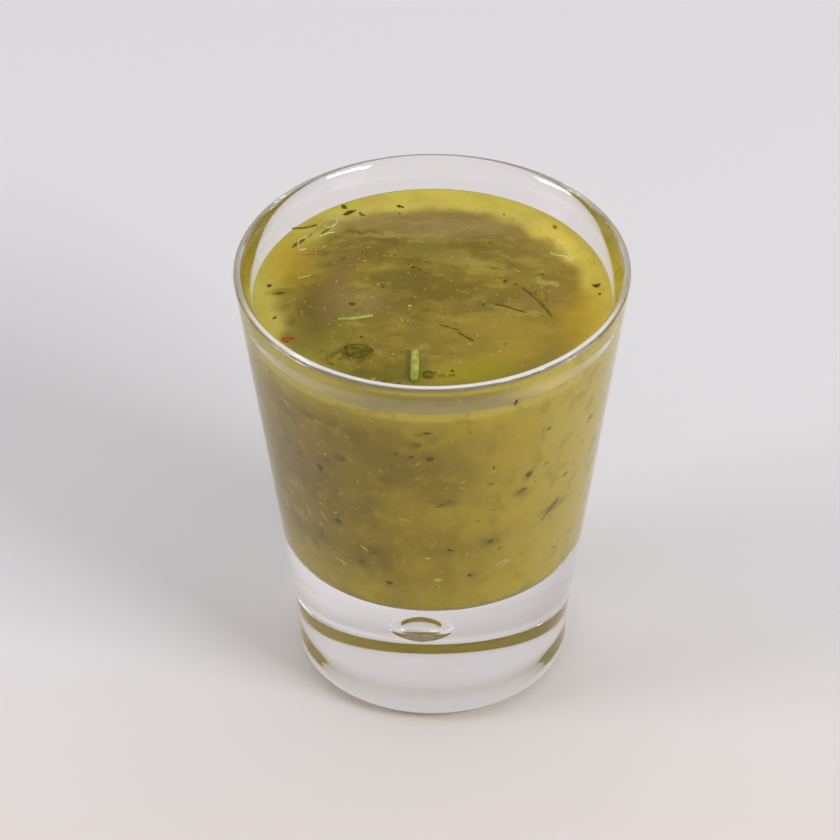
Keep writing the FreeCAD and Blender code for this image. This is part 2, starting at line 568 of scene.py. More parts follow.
# The oil: right, back and left, its gold, its clouds and its line along the wall.
OIL_YELLOW = (0.780, 0.610, 0.085)
OIL_BACK = (0.600, 0.500, 0.080)
OIL_GREEN = (0.520, 0.440, 0.070)
OIL_GOLD = (0.500, 0.320, 0.012)
OIL_ORANGE = (0.600, 0.390, 0.020)
OIL_CLOUD = (0.420, 0.320, 0.035)
OIL_EDGE = (0.330, 0.310, 0.060)

# Grey veils, a painted reflection of the pale backdrop, and dots of pale and dark seasoning.
GREY_REFLECTION = (0.300, 0.215, 0.070)
GREY_REFLECTION_PALE = (0.340, 0.245, 0.075)
DOT_PALE = (0.520, 0.430, 0.120)
DOT_DARK = (0.070, 0.055, 0.010)

# The radii over which the middle turns to oil, and over which the line along the wall
# sets in. The middle's own centre lies at this Y.
OIL_FROM = (19.2, 22.0)
OIL_EDGE_FROM = (23.0, 24.2)
OIL_CENTRE_Y = -0.8

# Stains, sunken leaves and painted reflections: centre, half sizes, turn, softness, colour, share.
STAINS = [
    ((-18.6, 7.5), (3.2, 6.5), 15, 0.8, OIL_GOLD, 0.75),
    ((20.4, -5.0), (2.8, 7.5), -12, 0.8, OIL_ORANGE, 0.75),
    ((11.0, -13.0), (9.0, 4.0), 25, 0.8, (0.380, 0.270, 0.020), 0.5),
    ((-1.0, -21.5), (16.0, 3.4), 0, 0.6, (0.270, 0.205, 0.020), 0.9),
    ((0.0, -23.2), (13.0, 1.3), 0, 0.7, (0.430, 0.350, 0.060), 0.7),
    ((-14.5, -18.5), (7.0, 3.0), -36, 0.7, (0.330, 0.265, 0.035), 0.65),
    ((5.0, -15.5), (6.0, 1.6), 6, 0.5, (0.300, 0.250, 0.006), 0.9),
    ((-16.0, -9.0), (3.6, 5.5), -20, 0.7, (0.260, 0.215, 0.020), 0.7),
    ((-15.5, -1.5), (2.6, 6.5), 5, 0.7, (0.130, 0.092, 0.004), 0.75),
    ((-2.0, 1.5), (5.5, 4.0), 0, 0.8, (0.150, 0.105, 0.006), 0.6),
    ((7.0, -7.0), (5.0, 3.0), 10, 0.8, (0.330, 0.240, 0.020), 0.6),
    ((0.0, 10.5), (3.5, 1.6), 0, 0.8, (0.140, 0.098, 0.008), 0.6),
    ((11.7, 0.5), (3.0, 1.8), 0, 0.8, (0.150, 0.105, 0.008), 0.6),
    # The grey veils in this list are a painted reflection of the backdrop on the thick middle.
    ((-9.0, 17.5), (6.0, 1.6), 8, 0.6, GREY_REFLECTION, 0.6),
    ((3.0, 16.0), (9.0, 2.8), -2, 0.7, GREY_REFLECTION_PALE, 0.65),
    ((-13.0, 3.0), (1.6, 8.0), -14, 0.7, (0.200, 0.125, 0.030), 0.7),
    ((-9.8, -1.0), (4.0, 3.4), 0, 0.7, GREY_REFLECTION, 0.45),
    ((14.5, 0.2), (2.9, 2.7), 38, 0.25, (0.255, 0.165, 0.035), 0.75),
    ((10.0, 12.0), (4.5, 1.3), -22, 0.35, (0.240, 0.165, 0.030), 0.45),
    ((2.0, 9.0), (5.6, 1.5), -18, 0.5, (0.330, 0.285, 0.050), 0.35),
    ((7.6, 6.8), (3.6, 1.0), -22, 0.4, (0.350, 0.300, 0.045), 0.55),
    ((-6.0, 14.2), (6.0, 0.5), -1, 0.5, (0.330, 0.290, 0.050), 0.6),
    ((-5.0, 4.6), (3.4, 1.6), 8, 0.5, (0.145, 0.105, 0.015), 0.65),
    ((-10.0, -11.5), (2.4, 2.0), -20, 0.35, (0.120, 0.085, 0.006), 0.8),
    ((6.5, -1.5), (3.0, 1.5), 10, 0.6, (0.140, 0.105, 0.015), 0.55),
    ((-6.3, -16.0), (5.5, 1.6), 4, 0.5, (0.130, 0.115, 0.006), 0.7),
    ((4.0, -8.6), (5.5, 1.5), -28, 0.5, (0.190, 0.155, 0.012), 0.3),
    ((11.0, -2.5), (3.6, 0.5), -20, 0.4, (0.350, 0.300, 0.070), 0.6),
    ((15.5, 3.4), (1.7, 0.5), -12, 0.4, (0.380, 0.330, 0.060), 0.8),
    ((-20.0, 2.0), (1.9, 0.7), 5, 0.6, (0.160, 0.155, 0.015), 0.5),
]


def middle_colour(nodes, fine):
    """The thick olive middle with its smears, lighter in front and warmer to the right."""
    across = nodes.part(nodes.place, "X")
    along = nodes.part(nodes.place, "Y")
    clouds = nodes.step(nodes.noise(0.13, 3.0, fine), 0.36, 0.64)
    colour = nodes.mix(0.5, nodes.mix(clouds, OLIVE_DARK, OLIVE_PALE), OLIVE)
    smears = nodes.noise(0.42, 3.0, fine, (0.6, 1.3, 1))
    colour = nodes.mix(nodes.step(smears, 0.52, 0.66, 0.0, 0.65), colour, SMEAR_PALE)
    colour = nodes.mix(nodes.step(smears, 0.47, 0.34, 0.0, 0.60), colour, SMEAR_DARK)
    colour = nodes.mix(nodes.step(along, 2, -14, 0.0, 0.25), colour, OLIVE_FRONT)
    slant = nodes.maths("SUBTRACT", across, nodes.maths("MULTIPLY", along, 0.4))
    return nodes.tinted(colour, nodes.step(slant, -4, 18), 0.45, OLIVE_WARM)


def oil_colour(nodes, fine):
    """The oil round the middle: yellow on the right, greener left, its own tone behind."""
    across = nodes.part(nodes.place, "X")
    along = nodes.part(nodes.place, "Y")
    colour = nodes.mix(nodes.step(across, 2, -14), OIL_YELLOW, OIL_GREEN)
    colour = nodes.mix(nodes.step(along, 12, 20), colour, OIL_BACK)
    clouds = nodes.step(nodes.noise(0.3, 3.0, fine), 0.4, 0.7, 0.0, 0.35)
    return nodes.mix(clouds, colour, OIL_CLOUD)


def surface_material():
    """The marinade's surface: a thick olive middle in a ring of yellow oil."""
    material, shader = principled("marinade_surface", Specular_IOR_Level=0.22)
    nodes = Nodes(material)
    flat = nodes.vector("MULTIPLY", nodes.warped(2.2, 0.20), (1, 1, 0))
    fine = nodes.vector("MULTIPLY", nodes.warped(1.1, 0.7, 7.0), (1, 1, 0))
    off_centre = nodes.vector("SUBTRACT", flat, (0, OIL_CENTRE_Y, 0))
    oil = nodes.step(nodes.vector("LENGTH", off_centre), *OIL_FROM)
    colour = nodes.mix(oil, middle_colour(nodes, fine), oil_colour(nodes, fine))
    for centre, sizes, turn, soft, tint, share in STAINS:
        stain = nodes.blob(fine, (*centre, 0), (*sizes, 1), turn, soft)
        colour = nodes.tinted(colour, stain, share, tint)
    edge = nodes.step(nodes.vector("LENGTH", flat), *OIL_EDGE_FROM)
    colour = nodes.tinted(colour, edge, 0.25, OIL_EDGE)
    colour = nodes.tinted(colour, nodes.dots(0.9, 0.16, 0.35), 0.5, DOT_PALE)
    colour = nodes.tinted(colour, nodes.dots(0.5, 0.10, 0.30, seed=4.0), 0.5, DOT_DARK)
    nodes.link(colour, shader.inputs["Base Color"])
    rough = nodes.step(nodes.noise(0.5, 2.0), 0.35, 0.7, 0.10, 0.26)
    nodes.link(nodes.step(oil, 0, 1, rough, 0.06), shader.inputs["Roughness"])
    nodes.link(nodes.bump(nodes.noise(1.1, 3.0, fine), 0.5, 0.06), shader.inputs["Normal"])
    return material


# ---------------------------------------------------------------- marinade's side

# Colours of the marinade as seen through the wall; the light edge tone and the light
# level tone are painted light.
SIDE_OLIVE = (0.490, 0.365, 0.004)
SIDE_DARK = (0.300, 0.218, 0.003)
SIDE_YELLOW = (0.710, 0.560, 0.035)
SIDE_EDGE_LIGHT = (0.820, 0.680, 0.080)
SIDE_LEVEL_LIGHT = (0.800, 0.680, 0.100)
SIDE_GREEN = (0.340, 0.285, 0.004)
SIDE_SHADE = (0.230, 0.172, 0.003)
SIDE_PALE = (0.780, 0.640, 0.210)
SIDE_DOT = (0.110, 0.085, 0.015)

# Tones along X and along Z: from, to, share, colour. Along X the side is darker to the
# left and lighter and yellower to the right and at both edges: painted light and shade
# of the lamps. Along Z it is yellower towards the bottom, and near the level it has a
# painted glow of the light that comes in through the surface.
SIDE_LIGHT_AND_SHADE_ACROSS = [
    (0, -14, 0.6, SIDE_DARK),
    (-4, 14, 0.75, SIDE_YELLOW),
    (11, 20, 0.6, SIDE_EDGE_LIGHT),
    (-18, -24, 0.5, SIDE_YELLOW),
]
SIDE_TONE_AND_LIGHT_UP = [(30, 21, 0.55, SIDE_YELLOW), (53, 57.5, 0.6, SIDE_YELLOW)]

# Dots in the side: pattern scale, size, share of cells, seed, strength, colour.
SIDE_DOTS = [
    (0.75, 0.15, 0.40, 0.0, 0.45, SIDE_PALE),
    (1.5, 0.15, 0.40, 3.0, 0.35, SIDE_PALE),
    (0.6, 0.13, 0.25, 9.0, 0.6, SIDE_DOT),
]

# The Layer Weight's facing at which the side turns from marinade to mirror.
GRAZE = (0.56, 0.60)


def side_colour(nodes):
    """The marinade through the wall: clouds, painted light and shade, a painted band of light under
    the level, halos, dots.
    """
    across = nodes.part(nodes.place, "X")
    along = nodes.part(nodes.place, "Y")
    up = nodes.part(nodes.place, "Z")
    warped = nodes.warped(1.6, 0.16)
    colour = nodes.mix(nodes.step(nodes.noise(0.11, 3.0, warped), 0.35, 0.65), SIDE_DARK, SIDE_OLIVE)
    # Painted light and shade across the side, and its tones up it.
    for value, tones in ((across, SIDE_LIGHT_AND_SHADE_ACROSS), (up, SIDE_TONE_AND_LIGHT_UP)):
        for low, high, share, tint in tones:
            colour = nodes.mix(nodes.step(value, low, high, 0.0, share), colour, tint)
    # A painted band of light just under the level, where the meniscus shows bright.
    tilted = nodes.maths("SUBTRACT", up, nodes.maths("MULTIPLY", along, LEVEL_TILT / RIM_RADIUS))
    from_level = nodes.maths("SUBTRACT", tilted, LEVEL + LEVEL_LIFT)
    colour = nodes.mix(nodes.step(from_level, -1.9, -1.0, 0.0, 0.75), colour, SIDE_LEVEL_LIGHT)
    clouds = nodes.noise(0.32, 4.0, warped)
    colour = nodes.mix(nodes.step(clouds, 0.46, 0.74, 0.0, 0.32), colour, SIDE_YELLOW)
    colour = nodes.mix(nodes.step(clouds, 0.50, 0.28, 0.0, 0.45), colour, SIDE_GREEN)
    for bearing, height, length, width, _ in SIDE_FLECKS:
        angle = math.radians(bearing)
        radius = inner_radius(height)
        spot = (radius * math.cos(angle), radius * math.sin(angle), height)
        halo = nodes.blob(warped, spot, (length * 0.75, length * 0.75, width * 0.9), 0, 0.6)
        colour = nodes.tinted(colour, halo, 0.45, SIDE_SHADE)
    for scale, size, share, seed, strength, tint in SIDE_DOTS:
        colour = nodes.tinted(colour, nodes.dots(scale, size, share, seed), strength, tint)
    return colour


def side_material():
    """The marinade against the glass; at grazing angles the wall hides it by total reflection."""
    material, shader = principled("marinade_side", Specular_IOR_Level=0.0, Roughness=0.5)
    nodes = Nodes(material)
    nodes.link(side_colour(nodes), shader.inputs["Base Color"])
    tree = material.node_tree
    layer = tree.nodes.new("ShaderNodeLayerWeight")
    layer.inputs["Blend"].default_value = 0.5
    mirror = tree.nodes.new("ShaderNodeBsdfGlossy")
    mirror.inputs["Roughness"].default_value = 0.0
    mirror.inputs["Color"].default_value = (1, 1, 1, 1)
    mix = tree.nodes.new("ShaderNodeMixShader")
    nodes.link(nodes.step(layer.outputs["Facing"], *GRAZE), mix.inputs["Fac"])
    tree.links.new(shader.outputs["BSDF"], mix.inputs[1])
    tree.links.new(mirror.outputs["BSDF"], mix.inputs[2])
    tree.links.new(mix.outputs["Shader"], tree.nodes["Material Output"].inputs["Surface"])
    return material


# ---------------------------------------------------------------- herbs' tools

# A leaf is narrower at its ends by this share.
LEAF_PINCH = 0.35

# A stem's rings: how many steps, how uneven, and how thin at its ends.
STEM_STEPS = 10
STEM_UNEVEN = 0.04
STEM_END = 0.75


class Surface:
    """Places things on the marinade's surface: u and v are level, w is up."""

    def __init__(self, x, y, turn):
        self.x = x
        self.y = y
        self.spin = math.radians(turn)

    def point(self, u, v, w):
        x = self.x + u * math.cos(self.spin) - v * math.sin(self.spin)
        y = self.y + u * math.sin(self.spin) + v * math.cos(self.spin)
        return (x * MM, y * MM, (surface_height(x, y) + w) * MM)


class Side:
    """Places things in the marinade against the glass: u is round, v is up, w is outward."""

    def __init__(self, bearing, height, turn):
        self.bearing = math.radians(bearing)
        self.height = height
        self.spin = math.radians(turn)

    def point(self, u, v, w):
        across = u * math.cos(self.spin) - v * math.sin(self.spin)
        height = self.height + u * math.sin(self.spin) + v * math.cos(self.spin)
        radius = inner_radius(height) + INTO_WALL + w
        angle = self.bearing + across / inner_radius(self.height)
        return (radius * math.cos(angle) * MM, radius * math.sin(angle) * MM, height * MM)


def close_body(bm, rings):
    """The skin of a closed body over rings of vertices, with a face at either end."""
    count = len(rings[0])
    for low, high in zip(rings, rings[1:]):
        for step in range(count):
            after = (step + 1) % count
            bm.faces.new((low[step], low[after], high[after], high[step]))
    bm.faces.new(list(reversed(rings[0])))
    bm.faces.new(rings[-1])


def flake(bm, place, length, width, seed, lift=0.02, thick=0.14, curl=0.0, torn=0.2, points=14):
    """A torn bit of leaf: a thin closed body with an uneven outline."""
    rng = random.Random(seed)
    outline = []
    for step in range(points):
        angle = 2 * math.pi * step / points
        reach = 1 + rng.uniform(-torn, torn)
        pinch = 1 - LEAF_PINCH * abs(math.cos(angle)) ** 3
        u = math.cos(angle) * reach * length / 2
        v = math.sin(angle) * reach * pinch * width / 2
        outline.append((u, v))
    # From the underside up: share of the outline, and height against the lift.
    layers = []
    for share, drop in ((0.9, -thick), (1.0, -thick * 0.4), (0.8, 0.0), (0.45, 0.02)):
        level = lift + drop + curl * share * share
        layers.append([bm.verts.new(place.point(u * share, v * share, level)) for u, v in outline])
    close_body(bm, layers)


def stick(bm, start, end, thickness, seed, lift, bend, sides=8):
    """A bit of stem that lies on the surface from one place to another."""
    rng = random.Random(seed)
    length = math.dist(start, end)
    along = ((end[0] - start[0]) / length, (end[1] - start[1]) / length)
    turn = math.degrees(math.atan2(along[1], along[0]))
    sway = rng.uniform(-bend, bend) * length
    rings = []
    for step in range(STEM_STEPS + 1):
        share = step / STEM_STEPS
        shift = sway * math.sin(math.pi * share)
        x = start[0] + along[0] * length * share - along[1] * shift
        y = start[1] + along[1] * length * share + along[0] * shift
        place = Surface(x, y, turn)
        taper = STEM_END if step in (0, STEM_STEPS) else 1
        girth = thickness / 2 * (1 + rng.uniform(-STEM_UNEVEN, STEM_UNEVEN)) * taper
        ring = []
        for side in range(sides):
            angle = 2 * math.pi * side / sides
            up = lift + math.sin(angle) * girth
            ring.append(bm.verts.new(place.point(0, math.cos(angle) * girth, up)))
        rings.append(ring)
    close_body(bm, rings)


def herb_material(name, dark, light, gloss):
    """Wet plant matter: two tones in uneven patches, with a fine grain."""
    material, shader = principled(name, Roughness=0.4, Specular_IOR_Level=gloss)
    nodes = Nodes(material)
    patches = nodes.step(nodes.noise(1.2, 3.0), 0.35, 0.65)
    colour = nodes.mix(patches, dark, light)
    colour = nodes.tinted(colour, nodes.noise(4.0, 2.0), 0.35, dark)
    nodes.link(colour, shader.inputs["Base Color"])
    nodes.link(nodes.bump(nodes.noise(3.0, 2.0), 0.5, 0.05), shader.inputs["Normal"])
    return material


def herb_piece(name, bm, material):
    """Hands one kind of herb to the frame as a piece of its own."""
    bmesh.ops.recalc_face_normals(bm, faces=bm.faces)
    piece = finish_mesh(bm, name)
    piece.data.materials.append(material)
    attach(piece, "root")
    return piece


# ---------------------------------------------------------------- herbs' places

# Leaves on the surface: x, y, length, width, turn, lift, curl.
DARK_LEAVES = [
    (-9.6, -11.3, 4.4, 2.7, -18, 0.05, 0.10),
    (-0.4, -16.3, 1.8, 1.5, 30, 0.12, 0.15),
    (-5.6, -17.0, 2.6, 1.0, 12, 0.02, 0.05),
    (-2.2, 6.6, 1.7, 0.8, -28, 0.04, 0.10),
    (-0.6, 5.4, 1.2, 0.5, -50, 0.04, 0.05),
    (9.9, 3.7, 1.0, 0.8, 60, 0.03, 0.05),
    (22.0, 3.1, 1.2, 0.8, 20, 0.06, 0.10),
    (22.4, 1.2, 0.6, 0.4, 70, 0.04, 0.05),
    (-20.4, 1.6, 2.4, 0.7, 4, 0.03, 0.05),
    (-21.0, -3.6, 0.9, 0.5, 50, 0.03, 0.05),
    (-11.2, 19.3, 2.0, 0.8, 32, 0.08, 0.20),
    (-9.4, 18.8, 0.9, 0.5, -10, 0.06, 0.10),
]
OLIVE_LEAVES = [
    (-13.0, -12.6, 2.4, 3.4, -25, 0.03, 0.08),
    (14.8, 0.4, 5.2, 3.6, -38, -0.02, 0.05),
    (7.5, 12.6, 5.2, 1.4, -20, 0.00, 0.05),
    (-6.5, 3.4, 4.0, 1.4, 6, -0.02, 0.05),
    (1.0, -16.6, 8.5, 1.1, 9, 0.00, 0.04),
    (-15.5, -11.5, 3.2, 1.2, -52, 0.00, 0.05),
    (-17.8, 12.8, 2.6, 0.7, 48, 0.03, 0.10),
    (-12.6, 8.4, 3.6, 0.7, 38, 0.02, 0.08),
    (-14.2, 15.6, 3.0, 0.6, 55, 0.02, 0.08),
    (5.4, 9.6, 3.4, 0.8, -24, 0.01, 0.05),
    (2.9, 11.6, 2.6, 1.0, -12, 0.01, 0.05),
    (8.3, 6.6, 3.2, 0.7, -20, 0.01, 0.05),
]
PALE_BITS = [
    (-7.4, -17.6, 1.3, 0.6, 40, 0.14, 0.15),
    (-7.9, -16.9, 0.8, 0.5, -30, 0.16, 0.15),
    (12.2, -3.2, 1.2, 0.35, -30, 0.06, 0.05),
    (16.0, 3.3, 2.6, 0.30, -12, 0.04, 0.02),
    (-16.9, 9.6, 1.8, 0.35, 20, 0.04, 0.03),
    (4.9, -9.8, 0.5, 0.4, 0, 0.08, 0.05),
    (8.9, -11.4, 0.6, 0.5, 40, 0.08, 0.05),
    (11.4, 6.0, 1.4, 0.25, -35, 0.04, 0.02),
    (-3.0, -1.5, 0.7, 0.5, 10, 0.04, 0.02),
    (-14.6, 11.9, 1.4, 0.3, 62, 0.04, 0.03),
]

# A leaf takes these shares of its row's lift and curl, and is then sunk a little. Its
# thickness, how torn its edge is, and the points of its outline are the same for all.
LEAF_LIFT = 0.4
LEAF_CURL = 0.3
LEAF_SINK = 0.008
LEAF_THICKNESS = 0.07
LEAF_TORN = 0.28
LEAF_POINTS = 9

# Specks on the surface: x, y, size. Chilli: x, y, length, width. Each is turned by so many
# degrees against the one before.
SURFACE_SPECKS = [
    (-4.4, 20.8, 0.75),
    (-3.9, 20.6, 0.40),
    (-9.7, 19.3, 0.50),
    (9.8, 18.9, 0.40),
    (-21.8, 3.3, 0.80),
    (-9.4, -8.3, 0.60),
    (2.6, -15.5, 0.55),
    (-10.7, -1.1, 0.85),
    (-4.4, -17.8, 0.45),
    (11.2, 3.0, 0.45),
    (-11.9, 20.4, 0.9),
    (1.2, 4.4, 0.3),
    (-6.6, 2.6, 0.5),
    (14.8, 5.2, 0.35),
    (6.8, -1.3, 0.5),
]
CHILLI = [
    (-19.4, -8.4, 1.25, 0.95),
    (16.6, 15.9, 0.8, 0.5),
    (-18.6, -8.0, 0.6, 0.5),
]
SPECK_WIDTH = 0.7
SPECK_TURN = 50
CHILLI_START = 35
CHILLI_TURN = 70

# Stems: start x, y, end x, y, thickness. Their middle line lies above the surface by
# the share STEM_LIFT of their thickness.
GREEN_STEMS = [
    (-12.7, -4.6, -7.9, -3.9, 0.45),
    (-2.3, -11.6, -2.4, -17.6, 1.15),
    (-16.6, 14.0, -13.2, 17.6, 0.22),
    (-18.2, 4.6, -15.6, 5.6, 0.25),
]
DARK_STALKS = [
    (12.1, 2.2, 15.9, -3.8, 0.26),
    (8.4, -1.1, 12.6, -3.3, 0.22),
    (3.5, -7.4, 5.4, -9.2, 0.24),
    (-19.0, 15.2, -15.6, 16.6, 0.22),
    (1.0, -5.6, 3.6, -6.8, 0.16),
]
STEM_LIFT = 0.28
STEM_BEND = 0.05

# Pale strands that stand for glints along the edge of the thick middle, a painted
# highlight: start x, y, end x, y, bend.
PAINTED_GLINT_STRANDS = [
    (-17.8, 11.0, -16.6, 14.4, 0.35),
    (-17.8, 11.0, -16.9, 11.4, 0.6),
    (-14.4, 15.9, -12.9, 18.4, 0.25),
    (16.8, 13.8, 19.0, 8.6, 0.15),
    (17.6, 9.6, 19.0, 8.6, 0.5),
    (15.9, 10.4, 17.6, 9.6, 0.2),
    (-15.2, 14.0, -13.2, 15.0, 0.3),
]
GLINT_STRAND_THICKNESS = 0.14
GLINT_STRAND_LIFT = 0.05

# Bits against the glass: bearing, height, length, width, turn. The short flecks are darker.
SIDE_FLECKS = [
    (-122, 47.3, 1.9, 1.3, 10),
    (-131, 43.8, 1.3, 1.4, 40),
    (-91, 50.0, 1.2, 1.0, 20),
    (-97, 50.2, 0.8, 0.6, 0),
    (-106, 45.3, 1.7, 0.7, 5),
    (-86, 41.4, 2.9, 0.7, 28),
    (-126, 34.8, 1.2, 1.0, 15),
    (-136, 30.8, 1.8, 1.5, -30),
    (-56, 43.8, 1.3, 1.1, 50),
    (-58, 41.1, 1.8, 0.9, 20),
    (-43, 35.0, 3.6, 0.8, 42),
    (-69, 33.0, 1.5, 0.9, 20),
    (-107, 25.6, 1.1, 0.7, 0),
    (-143, 51.4, 5.6, 0.9, -42),
    (-127, 46.0, 2.2, 0.7, -30),
    (-64, 58.4, 1.3, 0.5, 70),
    (-95, 52.6, 1.6, 0.9, 10),
    (-133, 53.2, 3.4, 0.6, -50),
    (-140, 44.4, 1.6, 0.9, 60),
    (-112, 30.8, 2.6, 0.9, 20),
    (-84, 32.6, 1.3, 0.4, -40),
    (-118, 28.4, 1.6, 1.2, 30),
    (-92, 54.8, 1.2, 0.5, 0),
    (-28, 47.6, 1.2, 0.5, 80),
    (-102, 50.6, 0.7, 0.5, 0),
    (-50, 51.0, 0.8, 0.5, 10),
    (-38, 40.0, 0.9, 0.4, 60),
    (-76, 27.2, 0.8, 0.5, 0),
]
SIDE_PALE_BITS = [
    (-63, 28.2, 2.6, 1.3, 4),
    (-128, 27.1, 2.6, 0.6, -14),
    (-133, 34.6, 1.8, 0.35, -55),
    (-116, 31.2, 1.8, 0.5, -40),
    (-88, 26.8, 1.4, 0.8, 10),
    (-100, 38.2, 2.0, 0.3, -10),
    (-80, 45.4, 0.9, 0.5, 30),
    (-52, 41.6, 1.1, 0.6, 20),
    (-92, 31.0, 0.8, 0.6, 0),
    (-60, 55.6, 1.4, 0.5, 20),
    (-95, 49.0, 1.3, 0.3, 50),
    (-74, 49.6, 0.7, 0.5, 0),
]
SPECK_LENGTH = 1.4

# Crumbs at seeded random places: piece, count, seed of the places, range of sizes,
# length over width (one is drawn, if there are several), first seed of the outlines.
SURFACE_CRUMBS = [
    ("pale_bits", 120, 11, (0.14, 0.34), 1.5, 1000),
    ("dark_specks", 60, 12, (0.12, 0.30), 1.5, 1200),
]
SIDE_CRUMBS = [
    ("side_pale_bits", 760, 13, (0.10, 0.28), (1.2, 1.5, 4.0), 1300),
    ("side_flecks", 110, 14, (0.14, 0.40), (1.2, 2.0, 4.0), 1800),
]
CRUMB_THICKNESS = 0.1
CRUMB_POINTS = 7

# Random places keep off the wall, the bowl's floor and the level by so much.
OFF_WALL = 2.0
OFF_FLOOR = 3.2
OFF_LEVEL = 1.6

# Larger flecks on the far side, which the photo doesn't show: of so many random places,
# the ones whose bearing has at least this sine.
BACK_COUNT = 22
BACK_SEED = 15
BACK_SIZES = (0.7, 1.6)
BACK_LENGTH = 1.6
BACK_FROM = 0.1

# The herb pieces: name, material, darker and lighter tone, gloss.
WET = 0.12
HERBS = [
    ("dark_leaves", "dark_leaf", (0.085, 0.068, 0.002), (0.200, 0.165, 0.006), WET),
    ("olive_leaves", "olive_leaf", (0.160, 0.120, 0.006), (0.330, 0.265, 0.022), WET),
    ("pale_bits", "pale_bit", (0.340, 0.280, 0.045), (0.500, 0.430, 0.120), WET),
    ("green_stems", "green_stem", (0.260, 0.290, 0.040), (0.500, 0.520, 0.120), WET),
    ("dark_stalks", "dark_stalk", (0.120, 0.080, 0.006), (0.230, 0.160, 0.016), WET),
    ("dark_specks", "dark_speck", (0.060, 0.045, 0.006), (0.140, 0.105, 0.012), 0.05),
    ("side_specks", "side_speck", (0.110, 0.080, 0.001), (0.200, 0.145, 0.002), 0.0),
    # These pale glossy strands are not a herb but a painted highlight: glints on the surface.
    ("painted_glint_strands", "painted_glint_strand", (0.700, 0.640, 0.300), (0.900, 0.860, 0.600), 0.8),
    ("side_flecks", "side_fleck", (0.190, 0.140, 0.001), (0.330, 0.245, 0.004), 0.0),
    ("side_pale_bits", "side_pale_bit", (0.560, 0.450, 0.070), (0.760, 0.660, 0.200), 0.0),
    ("chilli_flakes", "chilli_flake", (0.280, 0.040, 0.006), (0.600, 0.130, 0.012), WET),
]


def add_leaves(herbs):
    """The leaves on the surface."""
    kinds = (
        ("dark_leaves", DARK_LEAVES, 100),
        ("olive_leaves", OLIVE_LEAVES, 200),
        ("pale_bits", PALE_BITS, 300),
    )
    for kind, rows, seed in kinds:
        for number, (x, y, length, width, turn, lift, curl) in enumerate(rows):
            flake(
                herbs[kind],
                Surface(x, y, turn),
                length,
                width,
                seed + number,
                lift=LEAF_LIFT * lift - LEAF_SINK,
                thick=LEAF_THICKNESS,
                curl=LEAF_CURL * curl,
                torn=LEAF_TORN,
                points=LEAF_POINTS,
            )


def add_stems(herbs):
    """The stems and stalks on the surface, and the pale strands of painted highlight."""
    for kind, rows, seed in (("green_stems", GREEN_STEMS, 400), ("dark_stalks", DARK_STALKS, 500)):
        for number, (x0, y0, x1, y1, thickness) in enumerate(rows):
            lift = thickness * STEM_LIFT
            stick(herbs[kind], (x0, y0), (x1, y1), thickness, seed + number, lift, STEM_BEND)
    # Pale glossy strands, a painted highlight for the glints along the edge of the thick middle.
    glint_strands = herbs["painted_glint_strands"]
    for number, (x0, y0, x1, y1, bend) in enumerate(PAINTED_GLINT_STRANDS):
        stick(glint_strands, (x0, y0), (x1, y1), GLINT_STRAND_THICKNESS, 550 + number, GLINT_STRAND_LIFT, bend, sides=6)


def add_specks(herbs):
    """The dark specks and the chilli on the surface."""
    specks = herbs["dark_specks"]
    for number, (x, y, size) in enumerate(SURFACE_SPECKS):
        place = Surface(x, y, number * SPECK_TURN)
        width = size * SPECK_WIDTH
        flake(specks, place, size, width, 600 + number, lift=0.06, torn=0.3, points=9)
    chilli = herbs["chilli_flakes"]
    for number, (x, y, length, width) in enumerate(CHILLI):
        place = Surface(x, y, CHILLI_START + number * CHILLI_TURN)
        seed = 700 + number
        flake(chilli, place, length, width, seed, lift=0.12, thick=0.2, curl=0.1, points=10)


def add_side_bits(herbs):
    """The flecks and pale bits against the glass."""
    for number, (bearing, height, length, width, turn) in enumerate(SIDE_FLECKS):
        kind = "side_specks" if length < SPECK_LENGTH else "side_flecks"
        flake(herbs[kind], Side(bearing, height, turn), length, width, 800 + number)
    for number, (bearing, height, length, width, turn) in enumerate(SIDE_PALE_BITS):
        flake(herbs["side_pale_bits"], Side(bearing, height, turn), length, width, 900 + number)


def scatter(count, seed):
    """Seeded random places on the surface: x, y, the generator and a number for each."""
    rng = random.Random(seed)
    reach = inner_radius(LEVEL) - OFF_WALL
    for number in range(count):
        radius = reach * math.sqrt(rng.random())
        turn = rng.uniform(0, 2 * math.pi)
        yield radius * math.cos(turn), radius * math.sin(turn), rng, number


def scatter_side(count, seed):
    """Seeded random places in the side, all round: bearing, height, generator, number."""
    rng = random.Random(seed)
    for number in range(count):
        bearing = rng.uniform(0, 360)
        height = rng.uniform(BASE_THICKNESS + OFF_FLOOR, LEVEL - OFF_LEVEL)
        yield bearing, height, rng, number


def crumb(bm, place, length, width, seed):
    """A thin small flake."""
    flake(bm, place, length, width, seed, thick=CRUMB_THICKNESS, points=CRUMB_POINTS)


def add_crumbs(herbs):
    """The small crumbs on the surface and in the side, and the flecks on the far side."""
    for kind, count, seed, sizes, shape, first in SURFACE_CRUMBS:
        for x, y, rng, number in scatter(count, seed):
            size = rng.uniform(*sizes)
            place = Surface(x, y, rng.uniform(0, 180))
            crumb(herbs[kind], place, size * shape, size, first + number)
    for kind, count, seed, sizes, shapes, first in SIDE_CRUMBS:
        for bearing, height, rng, number in scatter_side(count, seed):
            size = rng.uniform(*sizes)
            place = Side(bearing, height, rng.uniform(0, 180))
            crumb(herbs[kind], place, size * rng.choice(shapes), size, first + number)
    for bearing, height, rng, number in scatter_side(BACK_COUNT, BACK_SEED):
        if math.sin(math.radians(bearing)) >= BACK_FROM:
            size = rng.uniform(*BACK_SIZES)
            place = Side(bearing, height, rng.uniform(0, 180))
            flake(herbs["side_flecks"], place, size * BACK_LENGTH, size, 2000 + number)


